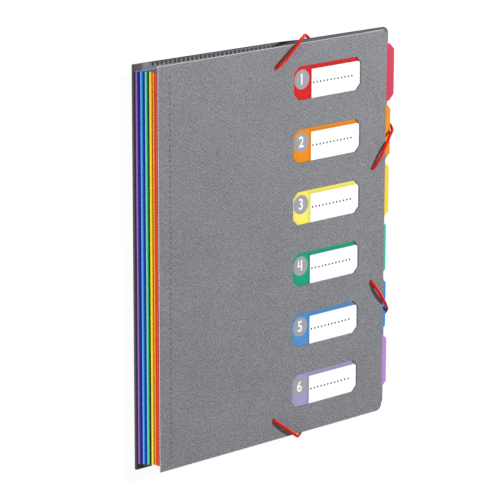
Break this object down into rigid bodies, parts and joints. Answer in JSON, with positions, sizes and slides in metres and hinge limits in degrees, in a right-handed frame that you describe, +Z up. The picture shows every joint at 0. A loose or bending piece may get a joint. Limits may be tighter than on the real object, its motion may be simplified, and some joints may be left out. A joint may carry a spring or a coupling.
{
  "type": "document portfolio",
  "caption": "Closed sorting file with sewn folded dividers, tabs in steps along the open edge, a windowed front cover with label cards and corner elastics.",
  "frame": {"origin": "middle of the footprint on the table, below the closed file lying on its back cover", "axes": "+X from the spine to the open edge, +Y to the top edge, +Z up out of the front cover"},
  "size_m": [0.2598, 0.3282, 0.0194],
  "materials": {
    "cover_sheet": "embossed twill",
    "sewing_thread": "twisted",
    "clear_sheet": "clear",
    "elastic": "braided",
    "bar_steel": "plain",
    "sheet_red": "fine grain",
    "label_red": "printed",
    "sheet_orange": "fine grain",
    "label_orange": "printed",
    "sheet_yellow": "fine grain",
    "label_yellow": "printed",
    "sheet_green": "fine grain",
    "label_green": "printed",
    "sheet_blue": "fine grain",
    "label_blue": "printed",
    "sheet_violet": "fine grain",
    "label_violet": "printed"
  },
  "bodies": {
    "back_cover": {"back_cover": "cover_sheet"},
    "front_cover": {"front_cover": "cover_sheet", "front_seam": "sewing_thread", "label_1": "label_red", "label_2": "label_orange", "label_3": "label_yellow", "label_4": "label_green", "label_5": "label_blue", "label_6": "label_violet", "label_pocket": "clear_sheet", "elastic_top": "elastic", "elastic_bottom": "elastic", "elastic_bars_top": "bar_steel", "elastic_bars_bottom": "bar_steel"},
    "divider_red": {"divider_red": "sheet_red", "seam_red": "sewing_thread"},
    "divider_orange": {"divider_orange": "sheet_orange", "seam_orange": "sewing_thread"},
    "divider_yellow": {"divider_yellow": "sheet_yellow", "seam_yellow": "sewing_thread"},
    "divider_green": {"divider_green": "sheet_green", "seam_green": "sewing_thread"},
    "divider_blue": {"divider_blue": "sheet_blue", "seam_blue": "sewing_thread"},
    "divider_violet": {"divider_violet": "sheet_violet", "seam_violet": "sewing_thread"}
  },
  "joints": [
    {"name": "front_cover_turn", "type": "hinge", "parent": "divider_red", "child": "front_cover", "pos_m": [-0.11868, 0, 0.01715], "axis": [0, -1, 0], "range_deg": [0, 120], "deforming": ["elastic_top", "elastic_bottom"]},
    {"name": "red_turn", "type": "hinge", "parent": "divider_orange", "child": "divider_red", "pos_m": [-0.11908, 0, 0.0145], "axis": [0, -1, 0], "range_deg": [0, 10]},
    {"name": "orange_turn", "type": "hinge", "parent": "divider_yellow", "child": "divider_orange", "pos_m": [-0.12028, 0, 0.01185], "axis": [0, -1, 0], "range_deg": [0, 10]},
    {"name": "yellow_turn", "type": "hinge", "parent": "divider_green", "child": "divider_yellow", "pos_m": [-0.12227, 0, 0.0092], "axis": [0, -1, 0], "range_deg": [0, 10]},
    {"name": "green_turn", "type": "hinge", "parent": "divider_blue", "child": "divider_green", "pos_m": [-0.12467, 0, 0.00655], "axis": [0, -1, 0], "range_deg": [0, 10]},
    {"name": "blue_turn", "type": "hinge", "parent": "divider_violet", "child": "divider_blue", "pos_m": [-0.12707, 0, 0.0039], "axis": [0, -1, 0], "range_deg": [0, 10]},
    {"name": "violet_turn", "type": "hinge", "parent": "back_cover", "child": "divider_violet", "pos_m": [-0.12868, 0, 0.00125], "axis": [0, -1, 0], "range_deg": [0, 10]}
  ]
}
